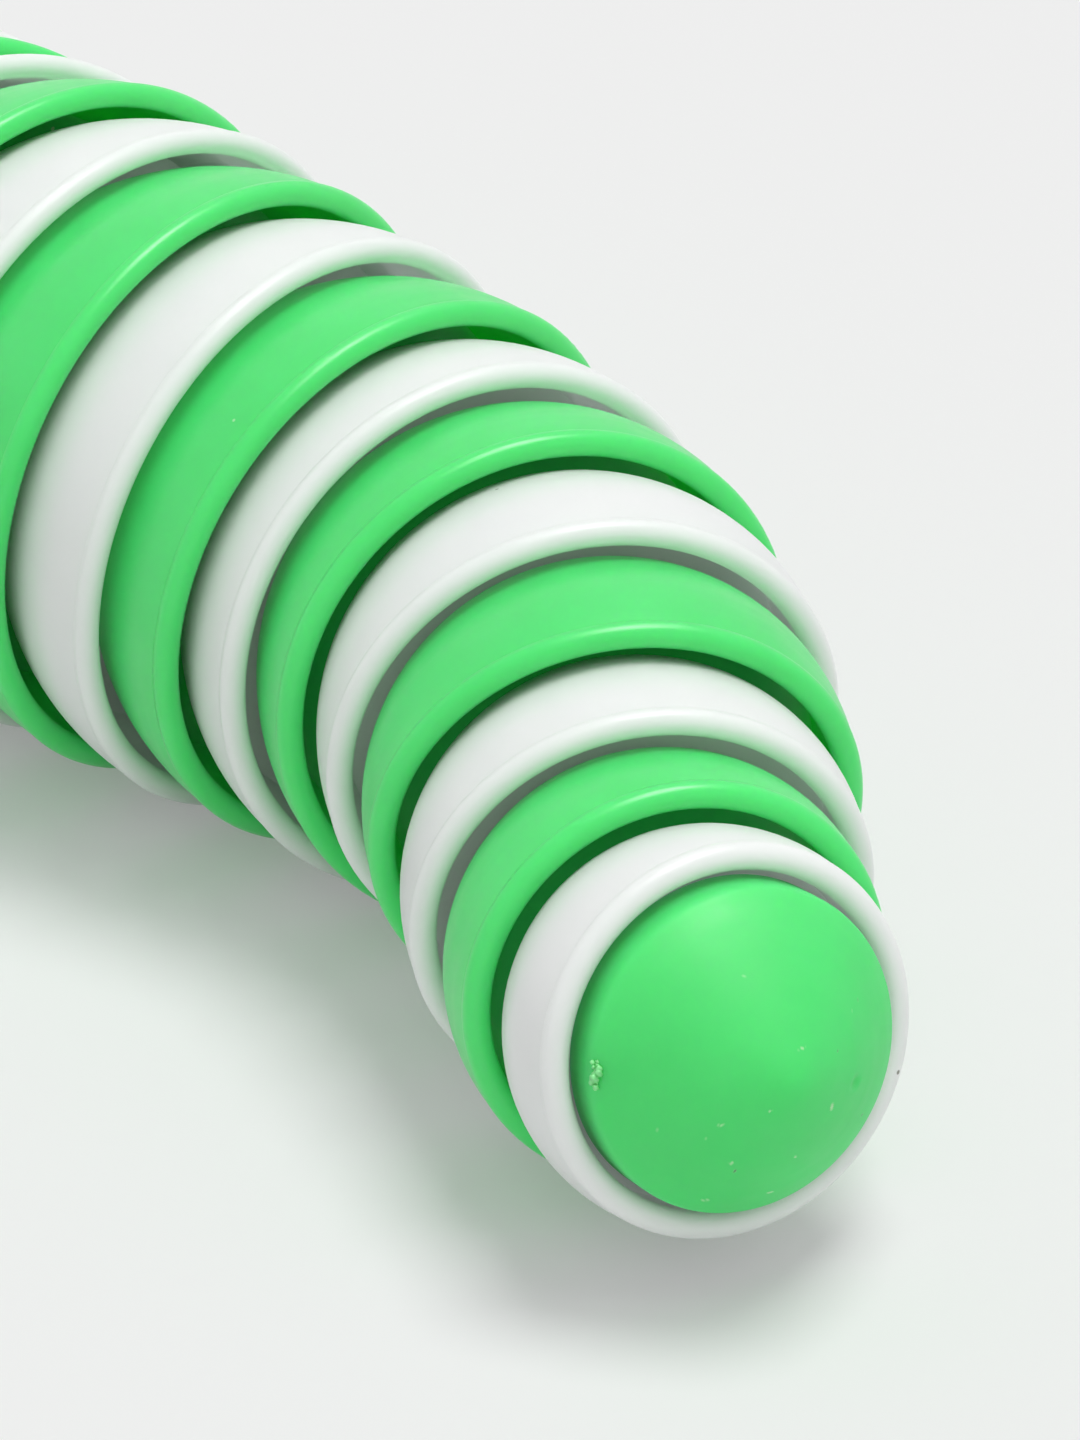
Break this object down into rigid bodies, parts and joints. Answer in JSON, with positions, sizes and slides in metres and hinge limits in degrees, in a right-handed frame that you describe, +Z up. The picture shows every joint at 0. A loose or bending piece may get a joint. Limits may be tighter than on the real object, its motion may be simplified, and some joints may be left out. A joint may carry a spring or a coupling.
{
  "type": "jointed toy slug",
  "caption": "Jointed toy slug of nested bowl-shaped rings in alternating green and white plastic, each ball-jointed to the next so that the body bends from side to side.",
  "frame": {"origin": "middle of the body's box, on the floor that it lies on", "axes": "+Z up, +Y from the tail to the head, +X to the right seen from the tail"},
  "size_m": [0.0822, 0.1408, 0.0401],
  "materials": {
    "green_plastic": "semi-gloss moulded plastic, bright green",
    "white_plastic": "semi-gloss moulded plastic, white"
  },
  "bodies": {
    "ring_01": {"tail_cap": "green_plastic", "ring_01": "white_plastic"},
    "ring_02": {"ring_02": "green_plastic"},
    "ring_03": {"ring_03": "white_plastic"},
    "ring_04": {"ring_04": "green_plastic"},
    "ring_05": {"ring_05": "white_plastic"},
    "ring_06": {"ring_06": "green_plastic"},
    "ring_07": {"ring_07": "white_plastic"},
    "ring_08": {"ring_08": "green_plastic"},
    "ring_09": {"ring_09": "white_plastic"},
    "ring_10": {"ring_10": "green_plastic"},
    "ring_11": {"ring_11": "white_plastic"},
    "ring_12": {"ring_12": "green_plastic"},
    "ring_13": {"ring_13": "white_plastic"},
    "ring_14": {"ring_14": "green_plastic"},
    "ring_15": {"ring_15": "white_plastic"},
    "ring_16": {"ring_16": "green_plastic"},
    "ring_17": {"ring_17": "white_plastic"},
    "ring_18": {"ring_18": "green_plastic"},
    "ring_19": {"ring_19": "white_plastic"},
    "head": {"head": "green_plastic"}
  },
  "joints": [
    {"name": "bend_01", "type": "hinge", "parent": "ring_02", "child": "ring_01", "pos_m": [0.03062, -0.06295, 0.0133], "axis": [0, 0, 1], "range_deg": [-20.17, 1.92]},
    {"name": "bend_02", "type": "hinge", "parent": "ring_03", "child": "ring_02", "pos_m": [0.0285, -0.05608, 0.01295], "axis": [0, 0, 1], "range_deg": [-16.45, 4.71]},
    {"name": "bend_03", "type": "hinge", "parent": "ring_04", "child": "ring_03", "pos_m": [0.0271, -0.04907, 0.01376], "axis": [0, 0, 1], "range_deg": [-14.16, 12.07]},
    {"name": "bend_04", "type": "hinge", "parent": "ring_05", "child": "ring_04", "pos_m": [0.02585, -0.04215, 0.01522], "axis": [0, 0, 1], "range_deg": [-9.52, 17.65]},
    {"name": "bend_05", "type": "hinge", "parent": "ring_06", "child": "ring_05", "pos_m": [0.02409, -0.03526, 0.01617], "axis": [0, 0, 1], "range_deg": [-4.61, 20.77]},
    {"name": "bend_06", "type": "hinge", "parent": "ring_07", "child": "ring_06", "pos_m": [0.02137, -0.02864, 0.01638], "axis": [0, 0, 1], "range_deg": [-4.06, 23.94]},
    {"name": "bend_07", "type": "hinge", "parent": "ring_08", "child": "ring_07", "pos_m": [0.01755, -0.0226, 0.01664], "axis": [0, 0, 1], "range_deg": [-4.22, 22.47]},
    {"name": "bend_08", "type": "hinge", "parent": "ring_09", "child": "ring_08", "pos_m": [0.01286, -0.0173, 0.01745], "axis": [0, 0, 1], "range_deg": [-8.13, 19.87]},
    {"name": "bend_09", "type": "hinge", "parent": "ring_10", "child": "ring_09", "pos_m": [0.00769, -0.01252, 0.01824], "axis": [0, 0, 1], "range_deg": [-12.8, 15.2]},
    {"name": "bend_10", "type": "hinge", "parent": "ring_11", "child": "ring_10", "pos_m": [0.00252, -0.00796, 0.01898], "axis": [0, 0, 1], "range_deg": [-15.5, 12.5]},
    {"name": "bend_11", "type": "hinge", "parent": "ring_12", "child": "ring_11", "pos_m": [-0.00216, -0.00359, 0.01962], "axis": [0, 0, 1], "range_deg": [-17.24, 10.76]},
    {"name": "bend_12", "type": "hinge", "parent": "ring_12", "child": "ring_13", "pos_m": [-0.00612, 0.00054, 0.0201], "axis": [0, 0, -1], "range_deg": [-16.99, 7.68]},
    {"name": "bend_13", "type": "hinge", "parent": "ring_13", "child": "ring_14", "pos_m": [-0.01052, 0.00595, 0.01987], "axis": [0, 0, -1], "range_deg": [-19.51, 8.28]},
    {"name": "bend_14", "type": "hinge", "parent": "ring_14", "child": "ring_15", "pos_m": [-0.0145, 0.01196, 0.0194], "axis": [0, 0, -1], "range_deg": [-20.01, 7.96]},
    {"name": "bend_15", "type": "hinge", "parent": "ring_15", "child": "ring_16", "pos_m": [-0.01788, 0.01846, 0.01877], "axis": [0, 0, -1], "range_deg": [-19.85, 8.15]},
    {"name": "bend_16", "type": "hinge", "parent": "ring_16", "child": "ring_17", "pos_m": [-0.02062, 0.02537, 0.01799], "axis": [0, 0, -1], "range_deg": [-19.1, 8.9]},
    {"name": "bend_17", "type": "hinge", "parent": "ring_17", "child": "ring_18", "pos_m": [-0.02276, 0.03259, 0.01708], "axis": [0, 0, -1], "range_deg": [-17.85, 10.15]},
    {"name": "bend_18", "type": "hinge", "parent": "ring_18", "child": "ring_19", "pos_m": [-0.02444, 0.04003, 0.01606], "axis": [0, 0, -1], "range_deg": [-16.22, 11.78]},
    {"name": "bend_19", "type": "hinge", "parent": "ring_19", "child": "head", "pos_m": [-0.02586, 0.04775, 0.01493], "axis": [0, 0, -1], "range_deg": [-14.38, 13.62]}
  ]
}
